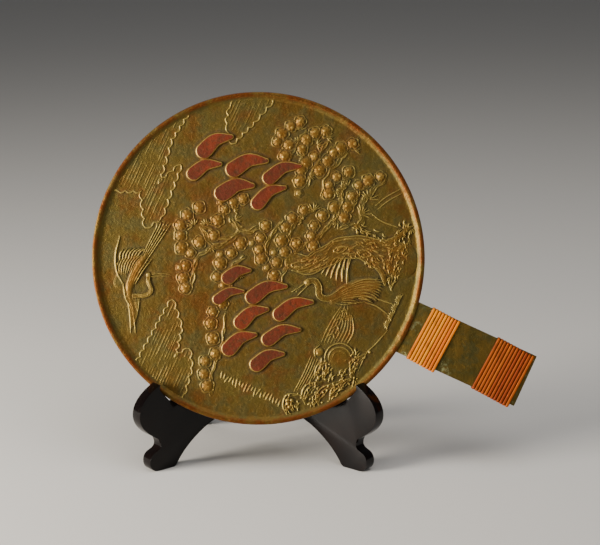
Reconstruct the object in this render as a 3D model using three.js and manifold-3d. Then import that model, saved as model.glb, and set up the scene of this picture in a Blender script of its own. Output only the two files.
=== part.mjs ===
// A cast bronze hand mirror, decorated side forward, leaning on a stand of two crossed lacquered boards.
// Millimetres. +X is to the viewer's right, where the handle points, +Y is away and +Z is up.
// The decorated face is drawn in its own plan: u to the right, v up, disc centre at zero, handle down.

import * as THREE from 'three';
import { mergeVertices } from 'three/addons/utils/BufferGeometryUtils.js';
import Module from 'manifold-3d';

const degrees = Math.PI / 180;

// The mirror.
const DISC_RADIUS = 120;
const DISC_SIDES = 72;
const FIELD = 2.9; // thickness of the ground between the figures
const RIM_THICKNESS = 5.2;
const RIM_CREST_WIDTH = 3;
const RIM_SLOPE_WIDTH = 3.2;
const EDGE_CHAMFER = 0.6;
const HANDLE_WIDTH = 39.5;
const HANDLE_REACH = 212; // from the disc centre to the end of the handle
const HANDLE_THICKNESS = 4.2;
const HANDLE_ROOT = 117; // where the handle starts, inside the rim's crest
const SINK = 0.8; // how deep each figure is rooted in the ground

// How the mirror stands: turned in its own plane, and leaning back.
const TURN = 65.3 * degrees;
const LEAN = 14 * degrees;
const SEAT_HEIGHT = 149.5; // disc centre above the table, on its back face
const SEAT_FORWARD = 30.2; // disc centre in front of the crossing of the boards

// The two cane bindings around the handle.
const STRAND_PITCH = 2.5;
const STRAND_RISE = 1.3; // how far a strand stands off the handle
const STRAND_GROOVE = 0.45; // depth between strands
const STRAND_SLANT = 3.6 * degrees;
const UPPER_BINDING = { top: 128, strands: 9 };
const LOWER_BINDING = { top: 179.5, strands: 12 };
const FIT = 0.3; // clearance between pieces that touch

// The stand.
const BOARD_THICKNESS = 9;
const BOARD_EDGE_ROUND = 0.9;
const BOARD_SPREAD = 50 * degrees; // each board's angle from the line of sight
const LAP_HEIGHT = 47; // where the two halved boards meet

const BRONZE = new THREE.MeshStandardMaterial({ color: 0x7a6434, roughness: 0.45, metalness: 0.85 });
const CANE_LIGHT = new THREE.MeshStandardMaterial({ color: 0xcf8a3a, roughness: 0.55, metalness: 0 });
const CANE_RED = new THREE.MeshStandardMaterial({ color: 0xb3622f, roughness: 0.55, metalness: 0 });
const LACQUER = new THREE.MeshStandardMaterial({ color: 0x0c0a0b, roughness: 0.15, metalness: 0 });

const wasm = await Module();
wasm.setup();

// ---- joining and cutting ----

function solidOf(geometry) {
  const bare = geometry.clone();
  bare.deleteAttribute('normal');
  bare.deleteAttribute('uv');
  const merged = mergeVertices(bare, 1e-4);
  return new wasm.Manifold(new wasm.Mesh({
    numProp: 3,
    vertProperties: new Float32Array(merged.attributes.position.array),
    triVerts: new Uint32Array(merged.index.array),
  }));
}

function geometryOf(solid) {
  const mesh = solid.getMesh();
  const geometry = new THREE.BufferGeometry();
  geometry.setAttribute('position', new THREE.BufferAttribute(new Float32Array(mesh.vertProperties), 3));
  geometry.setIndex(new THREE.BufferAttribute(new Uint32Array(mesh.triVerts), 1));
  geometry.computeVertexNormals();
  return geometry;
}

function joined(solids) {
  return solids.reduce((whole, next) => whole.add(next));
}

// ---- what the figures are drawn with ----

function plane(points) {
  return points.map(([u, v]) => new THREE.Vector2(u, v));
}

// A flat shape raised from the ground of the disc.
function raised(shape, height) {
  const geometry = new THREE.ExtrudeGeometry(shape, { depth: SINK + height, bevelEnabled: false });
  geometry.translate(0, 0, FIELD - SINK);
  return solidOf(geometry);
}

// A band along a smooth curve, as wide at each point as widthAt says.
function ribbon(points, widthAt, steps) {
  const path = new THREE.SplineCurve(plane(points));
  const left = [];
  const right = [];
  for (let i = 0; i <= steps; i += 1) {
    const centre = path.getPoint(i / steps);
    const along = path.getTangent(i / steps);
    const across = new THREE.Vector2(-along.y, along.x).multiplyScalar(widthAt(i / steps) / 2);
    left.push(centre.clone().add(across));
    right.unshift(centre.clone().sub(across));
  }
  return new THREE.Shape([...left, ...right]);
}

function line(points, width, height, steps = 4) {
  const taper = (t) => width * (0.25 + 0.75 * Math.sin(Math.PI * Math.min(1, 0.2 + 0.8 * t)));
  return raised(ribbon(points, taper, steps), height);
}

// A long narrow kite: a feather, a blade of grass or a hair.
function quill([u, v], angle, length, width, height) {
  const along = new THREE.Vector2(Math.cos(angle), Math.sin(angle));
  const across = new THREE.Vector2(-along.y, along.x).multiplyScalar(width / 2);
  const root = new THREE.Vector2(u, v);
  const belly = root.clone().addScaledVector(along, length * 0.6);
  const tip = root.clone().addScaledVector(along, length);
  const shape = new THREE.Shape([root, belly.clone().sub(across), tip, belly.clone().add(across)]);
  return raised(shape, height);
}

// Quills side by side, their roots spread along a line and their angles turned from first to last.
function fan({ from, to, angles, lengths, count, width, height }) {
  const quills = [];
  for (let i = 0; i < count; i += 1) {
    const t = count > 1 ? i / (count - 1) : 0;
    const root = [THREE.MathUtils.lerp(from[0], to[0], t), THREE.MathUtils.lerp(from[1], to[1], t)];
    const angle = THREE.MathUtils.lerp(angles[0], angles[1], t) * degrees;
    quills.push(quill(root, angle, THREE.MathUtils.lerp(lengths[0], lengths[1], t), width, height));
  }
  return quills;
}

function dome([u, v], radius, height, sides = 6) {
  const geometry = new THREE.SphereGeometry(1, sides, 4);
  geometry.rotateX(Math.PI / 2);
  geometry.rotateZ(u + v);
  geometry.scale(radius, radius, height);
  geometry.translate(u, v, FIELD);
  return solidOf(geometry);
}

// ---- the pine tree ----

const NEEDLE_CLUSTER = { radius: 4.5, height: 1.3 };
const BOUGHS = [
  { along: [[-41, 38.5], [-33, 43.5], [-20, 46], [-7, 43.5]], clusters: 5 },
  { along: [[-16, 53], [-6, 59.5], [4, 60.5], [15, 54.5]], clusters: 5 },
  { along: [[2, 35.5], [16, 38.5], [28, 35], [34, 28]], clusters: 5 },
  { along: [[-24, 21.5], [-14, 23], [-5, 19.5], [4, 15.5]], clusters: 4 },
  { along: [[0, -3], [6, 2], [14.5, 5], [24, 4.3]], clusters: 4 },
  { along: [[-6, -16], [3, -13], [12, -15], [21, -20]], clusters: 4 },
  { along: [[19, -10], [28, -8.5], [37, -10], [45, -15]], clusters: 4 },
  { along: [[25, -32], [33, -27.5], [45, -28], [56, -34.5]], clusters: 5 },
  { along: [[-99, -5.5], [-92, 0.5], [-83, 3.5], [-75, -0.5]], clusters: 4 },
  { along: [[-66, 5.5], [-57, 11], [-49, 13], [-41, 10]], clusters: 4 },
  { along: [[82.5, 22.5], [89, 21.7], [96, 18.3], [103, 13.3]], clusters: 4 },
  { along: [[75.8, 14], [83.3, 14]], clusters: 2 },
  { along: [[63.7, -3.7], [71, -1], [77, -3], [84, -6]], clusters: 4 },
  { along: [[85, 4], [92.5, 4], [99, 0.8], [104, -5.5]], clusters: 4 },
  { along: [[76, -14], [88, -16.7], [96, -20], [103, -27.5]], clusters: 5 },
  { along: [[63, -26.7], [70, -25], [77.5, -27.5], [84, -33]], clusters: 4 },
  { along: [[53, -44], [66, -43], [80, -45], [91, -56]], clusters: 6 },
];
const TWIGS = [
  [[20, 9], [14, 16], [15, 24], [18, 31]],
  [[9, 19], [1, 25], [-5, 33], [3, 47]],
  [[-38, 35.5], [-28, 38], [-17, 40], [-8, 36]],
  [[-31, 12], [-22, 17], [-10, 13], [-3, 9]],
  [[-104, -10], [-88, -5], [-70, -3], [-44, 5]],
  [[72, 8.5], [85, 9.5], [99, 7]],
  [[66, -9], [80, -10.5], [100, -11]],
  [[52, -57], [62, -51], [78, -52], [88, -62]],
];
const TRUNK = [[42, -92], [39, -70], [36, -54], [22, -42], [10, -32], [6, -24]];
const TRUNK_WIDTH = { foot: 19, top: 11 };

function pine() {
  const solids = [];
  for (const bough of BOUGHS) {
    const path = new THREE.SplineCurve(plane(bough.along));
    for (let i = 0; i < bough.clusters; i += 1) {
      const place = path.getPoint(i / (bough.clusters - 1));
      solids.push(dome([place.x, place.y], NEEDLE_CLUSTER.radius, NEEDLE_CLUSTER.height));
    }
  }
  for (const twig of TWIGS) {
    solids.push(line(twig, 2.2, 0.6));
  }
  const trunkWidth = (t) => THREE.MathUtils.lerp(TRUNK_WIDTH.foot, TRUNK_WIDTH.top, t);
  solids.push(raised(ribbon(TRUNK, trunkWidth, 8), 0.8));
  return solids;
}

// ---- the clouds, with scalloped edges and drawn-out bars ----

const SCALLOP = { length: 7, depth: 1.8, points: 3 };

// A closed outline whose sides bulge outward in scallops; a side marked plain stays straight.
function scalloped(corners) {
  const outline = [];
  corners.forEach(([u, v, plain], index) => {
    const start = new THREE.Vector2(u, v);
    const [nextU, nextV] = corners[(index + 1) % corners.length];
    const side = new THREE.Vector2(nextU - u, nextV - v);
    const outward = new THREE.Vector2(side.y, -side.x).normalize();
    const scallops = plain ? 1 : Math.max(1, Math.round(side.length() / SCALLOP.length));
    const steps = plain ? 1 : scallops * SCALLOP.points;
    for (let i = 0; i < steps; i += 1) {
      const bulge = plain ? 0 : SCALLOP.depth * Math.abs(Math.sin((Math.PI * i) / SCALLOP.points));
      outline.push(start.clone().addScaledVector(side, i / steps).addScaledVector(outward, bulge));
    }
  });
  return new THREE.Shape(outline);
}

const CLOUDS = [
  {
    outline: [[80, 82, true], [66, 93, true], [33, 109, true], [2, 113], [9, 97], [-14, 83], [-2, 76], [38, 78],
      [20, 88]],
    bars: [[12, 104, 48], [18, 100, 42], [16, 96, 46], [-4, 83, 28]],
  },
  {
    outline: [[106, 42, true], [97, 62], [82, 63], [67, 52], [90, 44]],
    bars: [[76, 56, 22], [72, 52, 28]],
  },
  {
    outline: [[-104, 47, true], [-111, 28, true], [-113, 8], [-92, 11], [-80, 18], [-90, 25], [-68, 30], [-53, 44]],
    bars: [[-107, 40, 46], [-109, 35, 40], [-110, 30, 30], [-110, 16, 24]],
  },
];

function clouds() {
  const solids = [];
  for (const cloud of CLOUDS) {
    solids.push(raised(scalloped(cloud.outline), 0.4));
    for (const [u, v, length] of cloud.bars) {
      solids.push(quill([u, v], 0, length, 1.6, 0.8));
    }
  }
  return solids;
}

// ---- the two cranes ----

function flyingCrane() {
  return [
    line([[-28, 97], [-41, 94.5], [-52, 88], [-57, 81]], 2.6, 1),
    ...fan({ from: [-54, 86], to: [-50, 78], angles: [8, -2], lengths: [24, 27], count: 5, width: 2, height: 0.9 }),
    line([[-64, 73], [-56, 75], [-44, 75], [-30, 74]], 7, 1.2),
    ...fan({ from: [-34, 76], to: [-36, 73], angles: [-2, -10], lengths: [31, 34], count: 3, width: 1.8, height: 0.8 }),
    ...fan({ from: [-57, 78], to: [-60, 66], angles: [214, 197], lengths: [32, 25], count: 5, width: 2.2, height: 0.9 }),
    line([[-60, 68], [-56, 61], [-51, 63], [-47, 68], [-43, 66]], 2.8, 1.1, 7),
    quill([-44, 66.5], -64 * degrees, 14.5, 1.6, 0.8),
  ];
}

function standingCrane() {
  return [
    line([[-13, -37], [-7, -38.5], [-1, -39]], 2.4, 0.9, 2),
    dome([-1, -39.5], 3.2, 1.3),
    line([[0, -40], [1, -46], [-6, -52], [-4, -59], [6, -66]], 4.2, 1.1, 7),
    line([[-7, -61], [4, -67], [13, -74], [20, -84]], 13, 1.2, 5),
    ...fan({ from: [14, -70], to: [3, -73], angles: [-58, -84], lengths: [17, 17], count: 6, width: 2.4, height: 1.4 }),
    line([[9, -66], [18, -62.5], [29, -60]], 2, 0.9, 3),
    ...fan({ from: [29, -59], to: [24, -49], angles: [182, 166], lengths: [20, 16], count: 5, width: 2.4, height: 1 }),
    quill([5, -84], -97 * degrees, 19, 1.8, 0.8),
    quill([8.5, -84], -87 * degrees, 19, 1.8, 0.8),
  ];
}

// ---- the tortoise with its long trailing tail, the sea and the shore ----

function tortoise() {
  return [
    dome([-43, -82], 12, 1.3, 10),
    dome([-44, -68], 4, 1.1),
    line([[-47, -72], [-52, -77], [-60, -77]], 3, 0.9, 3),
    ...fan({ from: [-36, -70], to: [-32, -81], angles: [4, 11], lengths: [35, 31], count: 6, width: 2, height: 0.8 }),
  ];
}

const WAVES = [
  [[-95, -66], [-88, -60], [-80, -61], [-76, -70]],
  [[-84, -77], [-77, -71], [-69, -71], [-61, -81]],
  [[-78, -84], [-74, -79], [-66, -81], [-58, -86]],
  [[-72, -89], [-64, -87.5], [-56, -91], [-49, -98]],
  [[-48, -95], [-40, -92], [-30, -97]],
];
const SHORES = [
  [[-30, -100], [-20, -103], [-8, -106.5]],
  [[21, -96], [34, -92], [44, -96], [58, -92]],
  [[24, -88], [35, -84], [44, -88]],
  [[50, -84], [58, -82], [66, -88]],
  [[63, -61], [61.5, -72], [63, -84]],
  [[70, -61], [80, -66], [89, -73]],
];

function seaAndShore() {
  const solids = [];
  for (const wave of WAVES) {
    solids.push(line(wave, 3.4, 1));
  }
  for (const shore of SHORES) {
    solids.push(line(shore, 1.8, 0.6, 3));
  }
  for (let row = 0; row < 4; row += 1) {
    solids.push(quill([-78 + 3 * row, -65.5 - 2.7 * row], 0, 28, 1.2, 0.4));
  }
  for (let tuft = 0; tuft < 5; tuft += 1) {
    solids.push(quill([-6 + 4.4 * tuft, -105], (150 - 30 * tuft) * degrees, 5, 1.8, 0.7));
  }
  return solids;
}

// ---- rows of broad brushed dabs, and a column of small dashes; none is a letter ----

const BOLD_HEIGHT = 1.7;
const BOLD_ROWS = [
  { v: 68, heads: [36, 54], lean: -44, length: 21, breadth: 14 },
  { v: 43, heads: [32, 51], lean: -52, length: 22, breadth: 13 },
  { v: 17, heads: [36, 56], lean: -40, length: 22, breadth: 13.5 },
  { v: 14, heads: [-39, -22], lean: -50, length: 18, breadth: 10.5 },
  { v: -8, heads: [-68, -47, -27], lean: -42, length: 22, breadth: 13 },
  { v: -31, heads: [-70, -50, -30], lean: -50, length: 22, breadth: 12.5 },
];
const DAB_BEND = 16;
const COLUMN = { u: -88, top: -14, marks: 8, pitch: 6 };

// A stroke that is pressed in at its round head and bends away to a narrow tail.
function dab([u, v], { lean, length, breadth }) {
  const step = (angle, far) => {
    const turned = angle * degrees;
    return new THREE.Vector2(Math.cos(turned), Math.sin(turned)).multiplyScalar(far);
  };
  const head = new THREE.Vector2(u, v);
  const back = head.clone().sub(step(lean, breadth * 0.45));
  const middle = head.clone().add(step(lean + DAB_BEND, length / 2));
  const tail = middle.clone().add(step(lean - DAB_BEND, length / 2));
  const path = [back, head, middle, tail].map((point) => [point.x, point.y]);
  const width = (t) => breadth * Math.sqrt(Math.min(1, 0.1 + 4 * t)) * (1 - 0.7 * t * t);
  return raised(ribbon(path, width, 5), BOLD_HEIGHT);
}

function strokes() {
  const solids = BOLD_ROWS.flatMap((row) => row.heads.map((u) => dab([u, row.v], row)));
  for (let mark = 0; mark < COLUMN.marks; mark += 1) {
    const v = COLUMN.top - COLUMN.pitch * mark;
    solids.push(quill([COLUMN.u - 3.5, v], 0, mark % 2 === 0 ? 7 : 5.5, 1.4, 0.4));
  }
  return solids;
}

// ---- the casting ----

function disc() {
  const crest = DISC_RADIUS - RIM_CREST_WIDTH;
  const profile = plane([
    [0, 0],
    [DISC_RADIUS - EDGE_CHAMFER, 0],
    [DISC_RADIUS, EDGE_CHAMFER],
    [DISC_RADIUS, RIM_THICKNESS - EDGE_CHAMFER],
    [DISC_RADIUS - EDGE_CHAMFER, RIM_THICKNESS],
    [crest, RIM_THICKNESS - 0.1],
    [crest - RIM_SLOPE_WIDTH, FIELD],
    [0, FIELD],
  ]);
  const geometry = new THREE.LatheGeometry(profile, DISC_SIDES);
  geometry.rotateX(Math.PI / 2);
  return solidOf(geometry);
}

function handleSection(clearance) {
  const half = HANDLE_WIDTH / 2 + clearance;
  const shape = new THREE.Shape();
  shape.moveTo(-half, -clearance);
  shape.lineTo(half, -clearance);
  shape.lineTo(half, HANDLE_THICKNESS + clearance);
  shape.lineTo(-half, HANDLE_THICKNESS + clearance);
  return shape;
}

// The handle's bar, along -v from the disc.
function handleBar(clearance, reach) {
  const geometry = new THREE.ExtrudeGeometry(handleSection(clearance), {
    depth: reach - HANDLE_ROOT,
    bevelEnabled: false,
  });
  geometry.rotateX(Math.PI / 2);
  geometry.translate(0, -HANDLE_ROOT, 0);
  return solidOf(geometry);
}

function mirrorCasting() {
  const figures = [
    ...pine(),
    ...clouds(),
    ...flyingCrane(),
    ...standingCrane(),
    ...tortoise(),
    ...seaAndShore(),
    ...strokes(),
  ];
  return joined([disc(), handleBar(0, HANDLE_REACH), ...figures]);
}

// ---- the cane bindings ----

// Seen along the handle's width: one side of the sleeve, a flat-topped rib for each strand.
function ribs(strands, height, from, to) {
  const direction = Math.sign(to - from);
  const outline = [];
  for (let i = 0; i < strands; i += 1) {
    const start = from + direction * STRAND_PITCH * i;
    outline.push([start, height - Math.sign(height) * STRAND_GROOVE]);
    outline.push([start + direction * STRAND_PITCH * 0.3, height]);
    outline.push([start + direction * STRAND_PITCH * 0.7, height]);
  }
  outline.push([to, height - Math.sign(height) * STRAND_GROOVE]);
  return outline;
}

function binding({ top, strands }) {
  const length = STRAND_PITCH * strands;
  const thickness = HANDLE_THICKNESS / 2 + STRAND_RISE;
  const halfWidth = HANDLE_WIDTH / 2 + STRAND_RISE;
  const corner = STRAND_RISE;
  const shape = new THREE.Shape(plane([
    ...ribs(strands, thickness, length, 0),
    ...ribs(strands, -thickness, 0, length),
  ]));
  const geometry = new THREE.ExtrudeGeometry(shape, { depth: 3, steps: 3, bevelEnabled: false });
  const stations = [halfWidth, halfWidth - corner, corner - halfWidth, -halfWidth];
  const positions = geometry.attributes.position;
  for (let i = 0; i < positions.count; i += 1) {
    const station = Math.round(positions.getZ(i));
    const rounding = station === 0 || station === 3 ? 1 - corner / thickness : 1;
    const along = positions.getX(i);
    const across = positions.getY(i);
    positions.setXYZ(i, stations[station], -along, across * rounding);
  }
  geometry.rotateZ(-STRAND_SLANT);
  geometry.translate(0, -top, HANDLE_THICKNESS / 2);
  return solidOf(geometry).subtract(handleBar(FIT, HANDLE_REACH + 20));
}

// ---- the stand ----

// Each board's profile: s runs outward from the crossing along the board, z is up.
function boardShape() {
  const shape = new THREE.Shape();
  shape.moveTo(84, 0);
  shape.lineTo(98, 0);
  shape.bezierCurveTo(103, 0, 105.5, 4, 105.3, 8);
  shape.bezierCurveTo(105, 13, 102, 14, 98, 15.5);
  shape.quadraticCurveTo(93.5, 18, 97, 24);
  shape.bezierCurveTo(107, 29.5, 114.5, 36, 114.3, 44);
  shape.bezierCurveTo(114, 52, 107, 59, 95, 64.4);
  shape.lineTo(95.5, 60.7);
  shape.lineTo(92, 56.2);
  shape.lineTo(87.8, 51.8);
  shape.lineTo(80.7, 47.4);
  shape.lineTo(47, 134);
  shape.bezierCurveTo(44, 146, 34, 152, 28, 146);
  shape.bezierCurveTo(23, 139, 33, 136, 34, 128);
  shape.bezierCurveTo(40, 104, 52, 84, 40, 72);
  shape.bezierCurveTo(30, 61, 14, 60, 0, 60);
  shape.bezierCurveTo(-30, 60, -52, 40, -60, 24);
  shape.quadraticCurveTo(-66, 15, -74, 11);
  shape.quadraticCurveTo(-79, 6, -76, 0);
  shape.lineTo(-58, 0);
  shape.bezierCurveTo(-46, 12, -34, 33, 0, 33);
  shape.bezierCurveTo(24, 33, 42, 32, 57, 23.7);
  shape.quadraticCurveTo(74, 14, 82, 1.5);
  return shape;
}

function board() {
  const geometry = new THREE.ExtrudeGeometry(boardShape(), {
    depth: BOARD_THICKNESS - 2 * BOARD_EDGE_ROUND,
    bevelThickness: BOARD_EDGE_ROUND,
    bevelSize: BOARD_EDGE_ROUND,
    bevelOffset: -BOARD_EDGE_ROUND,
    bevelSegments: 1,
    curveSegments: 5,
  });
  geometry.translate(0, 0, -BOARD_THICKNESS / 2 + BOARD_EDGE_ROUND);
  return solidOf(geometry);
}

// The slot for the other board, which crosses at an angle, from the lap height up or down.
function lapSlot(above) {
  const crossing = Math.PI - 2 * BOARD_SPREAD;
  const width = (BOARD_THICKNESS / Math.sin(crossing)) * (1 + Math.cos(crossing)) + 2 * FIT;
  const height = 60;
  const geometry = new THREE.BoxGeometry(width, height, 2 * BOARD_THICKNESS);
  const edge = LAP_HEIGHT + (above ? -FIT / 2 : FIT / 2);
  geometry.translate(0, edge + (above ? height / 2 : -height / 2), 0);
  return solidOf(geometry);
}

// ---- the assembly ----

function named(name, solid, material) {
  const mesh = new THREE.Mesh(geometryOf(solid), material);
  mesh.name = name;
  return mesh;
}

const mirror = new THREE.Group();
mirror.rotation.z = TURN;
mirror.add(named('mirror', mirrorCasting(), BRONZE));
mirror.add(named('cane_binding_upper', binding(UPPER_BINDING), CANE_LIGHT));
mirror.add(named('cane_binding_lower', binding(LOWER_BINDING), CANE_RED));

const leaning = new THREE.Group();
leaning.rotation.x = Math.PI / 2 - LEAN;
leaning.position.set(0, -SEAT_FORWARD, SEAT_HEIGHT);
leaning.add(mirror);

const stand = new THREE.Group();
for (const [name, heading, above] of [
  ['stand_board_left', -Math.PI / 2 - BOARD_SPREAD, true],
  ['stand_board_right', -Math.PI / 2 + BOARD_SPREAD, false],
]) {
  const placed = new THREE.Group();
  placed.rotation.z = heading;
  const upright = named(name, board().subtract(lapSlot(above)), LACQUER);
  upright.rotation.x = Math.PI / 2;
  placed.add(upright);
  stand.add(placed);
}

const assembly = new THREE.Group();
assembly.add(leaning, stand);

// The origin is under the middle of the whole, on the table.
assembly.updateMatrixWorld(true);
const bounds = new THREE.Box3().setFromObject(assembly, true);
assembly.position.set(-(bounds.min.x + bounds.max.x) / 2, -(bounds.min.y + bounds.max.y) / 2, -bounds.min.z);

const part = new THREE.Group();
part.add(assembly);

export default part;
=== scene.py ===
"""A cast bronze hand mirror with a pictorial relief, leaning on a crossed, black lacquered stand.

The drawn plan of the decorated side is in millimetres: u to the right, v up, the disc centre at
zero and the handle down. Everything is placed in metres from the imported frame.
"""

import math
import random

import bmesh
import bpy
import numpy as np
from mathutils import Matrix, Vector


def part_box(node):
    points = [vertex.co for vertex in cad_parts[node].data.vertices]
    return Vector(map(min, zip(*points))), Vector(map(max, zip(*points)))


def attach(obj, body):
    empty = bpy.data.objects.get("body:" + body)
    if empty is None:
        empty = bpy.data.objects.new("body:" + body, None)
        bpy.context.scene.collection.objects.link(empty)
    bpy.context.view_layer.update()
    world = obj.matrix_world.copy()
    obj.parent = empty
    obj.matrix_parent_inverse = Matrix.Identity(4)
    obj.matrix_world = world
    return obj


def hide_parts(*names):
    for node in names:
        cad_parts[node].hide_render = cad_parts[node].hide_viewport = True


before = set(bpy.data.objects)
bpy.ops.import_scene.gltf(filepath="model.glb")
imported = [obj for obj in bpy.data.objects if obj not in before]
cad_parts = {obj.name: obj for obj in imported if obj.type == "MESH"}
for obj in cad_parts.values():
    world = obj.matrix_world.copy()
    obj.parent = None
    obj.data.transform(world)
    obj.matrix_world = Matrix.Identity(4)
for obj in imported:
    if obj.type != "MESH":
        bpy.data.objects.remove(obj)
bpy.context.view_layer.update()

MM = 0.001
DEGREE = math.pi / 180

# The mirror's own sizes, in millimetres.
DISC_RADIUS = 119.9
SOLID_RADIUS = 120.0
FIELD = 2.9
RIM_THICKNESS = 5.2
RIM_CREST_WIDTH = 3.0
RIM_SLOPE_WIDTH = 3.2
SLOPE_FOOT = SOLID_RADIUS - RIM_CREST_WIDTH - RIM_SLOPE_WIDTH
EDGE_CHAMFER = 0.6
HANDLE_WIDTH = 39.5
HANDLE_REACH = 211.9
HANDLE_THICKNESS = 4.2
HANDLE_ROOT = 117.0
TURN = 65.3 * DEGREE
LEAN = 14 * DEGREE

# The cane bindings.
STRAND_PITCH = 2.5
STRAND_RISE = 1.3
STRAND_SLANT = 3.6 * DEGREE
UPPER_BINDING = {"top": 128.0, "strands": 9}
LOWER_BINDING = {"top": 179.5, "strands": 12}

# The stand.
SEAT_FORWARD = 30.2  # the disc centre in front of the crossing of the boards
BOARD_THICKNESS = 9.0
BOARD_EDGE_ROUND = 0.9
BOARD_SPREAD = 50 * DEGREE
LAP_HEIGHT = 47.0
LAP_HALF_WIDTH = 5.6
LAP_GAP = 0.15


# ---- where things are ----


def plan_to_room():
    """From the plan of the decorated side, w towards the viewer, to the frame in metres."""
    low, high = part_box("mirror")
    forward = (SOLID_RADIUS - EDGE_CHAMFER) * math.sin(LEAN)
    rise = SOLID_RADIUS * math.cos(LEAN) + (RIM_THICKNESS - EDGE_CHAMFER) * math.sin(LEAN)
    centre = Vector((low.x + SOLID_RADIUS * MM, high.y - forward * MM, high.z - rise * MM))
    upright = Matrix.Rotation(math.pi / 2 - LEAN, 4, "X")
    turned = Matrix.Rotation(TURN, 4, "Z")
    return Matrix.Translation(centre) @ upright @ turned @ Matrix.Scale(MM, 4)


PLAN = plan_to_room()


def board_to_room(side):
    """From a board's own plan, s outward and z up, to the frame: side -1 is the viewer's left."""
    centre = PLAN.to_translation()
    heading = -math.pi / 2 + side * BOARD_SPREAD
    placed = Matrix.Translation((centre.x, centre.y + SEAT_FORWARD * MM, 0))
    upright = Matrix.Rotation(heading, 4, "Z") @ Matrix.Rotation(math.pi / 2, 4, "X")
    return placed @ upright @ Matrix.Scale(MM, 4)


def move_to_room(mesh, plan):
    """Moves a mesh's vertices from their places on the plan to the frame."""
    room = np.array(PLAN)
    mesh.vertices.foreach_set("co", (plan @ room[:3, :3].T + room[:3, 3]).ravel())
    mesh.update()


# ---- drawing in relief ----

STEP = 0.35  # spacing of the drawn heights
DRAWN = 115.5  # half the side of the square that they cover
BURIED = -0.45  # how far an unseen height lies under the ground
FAR_OFF = 1e3
FOOT = 0.62  # from the middle of a line to its foot, as a share of its width
DOME_FULLNESS = 2.8  # 2 for a round dome, and more for a flatter one
NEEDLE_RELIEF = 0.12


def toward(angle):
    """A step of one on the plan, at an angle in degrees from u."""
    return np.array([math.cos(angle * DEGREE), math.sin(angle * DEGREE)])


def scatter(rng, reach):
    return np.array([rng.uniform(-reach, reach), rng.uniform(-reach, reach)])


def smooth_path(points, per=8):
    """A Catmull-Rom curve through the points."""
    knots = np.array(points, float)
    if len(knots) == 2 or per == 1:
        return knots
    padded = np.vstack([2 * knots[0] - knots[1], knots, 2 * knots[-1] - knots[-2]])
    t = np.linspace(0, 1, per, endpoint=False)[:, None]
    parts = []
    for a, b, c, d in zip(padded, padded[1:], padded[2:], padded[3:]):
        bend = 2 * a - 5 * b + 4 * c - d
        parts.append(0.5 * (2 * b + (c - a) * t + bend * t**2 + (3 * b - a - 3 * c + d) * t**3))
    parts.append(knots[-1:])
    return np.vstack(parts)


def soft(far, power=1.0):
    """A bell: 1 in the middle and 0 from where far is 1; a higher power flattens its top."""
    return np.cos(np.clip(far, 0, 1) ** power * math.pi / 2) ** 2


def ridge(far, height):
    """A line's height: far is 0 in its middle, 1 at its foot, and more where it sinks away."""
    return soft(far) * height - np.maximum(far - 1, 0)


def narrowed(t, ends):
    """The share of a line's width left at each share of its length."""
    return np.interp(t, [0, 0.25, 0.7, 1], [ends[0], 1, 1, ends[1]])


def off_stretch(u, v, start, end):
    """How far each place is from a straight stretch, and at what share of it."""
    run = end - start
    share = ((u - start[0]) * run[0] + (v - start[1]) * run[1]) / max(1e-12, run @ run)
    share = np.clip(share, 0, 1)
    return np.hypot(u - start[0] - share * run[0], v - start[1] - share * run[1]), share


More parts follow.
